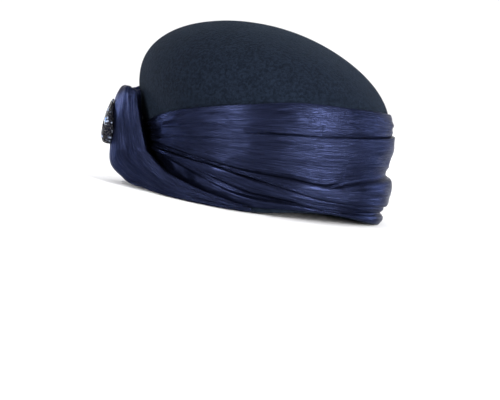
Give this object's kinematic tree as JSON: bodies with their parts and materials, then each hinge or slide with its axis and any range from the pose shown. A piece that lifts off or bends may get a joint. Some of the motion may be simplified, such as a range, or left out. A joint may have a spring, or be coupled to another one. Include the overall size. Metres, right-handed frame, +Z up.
{
  "type": "winter hat",
  "caption": "Brimless women's felt hat, open at the rim, with a pleated silk band gathered at the side under a turned-up silk loop and a beaded brooch with a cut stone.",
  "frame": {"origin": "Centre of the bounding box in plan, at the height of the felt's edge that the hat rests on.", "axes": "+Z is up, out of the top of the crown. -Y is the wearer's front and -X the wearer's right, where the loop and the brooch are."},
  "size_m": [0.208, 0.228, 0.142],
  "materials": {
    "felt": "smooth napped wool felt, dark teal navy",
    "silk": "slubbed silk with a satin sheen, navy",
    "beads": "glossy, near black",
    "stone": "polished facets, blue"
  },
  "bodies": {
    "root": {"crown": "felt", "band": "silk", "side_twist": "silk", "brooch_base": "beads", "brooch_stone": "stone"}
  },
  "joints": []
}
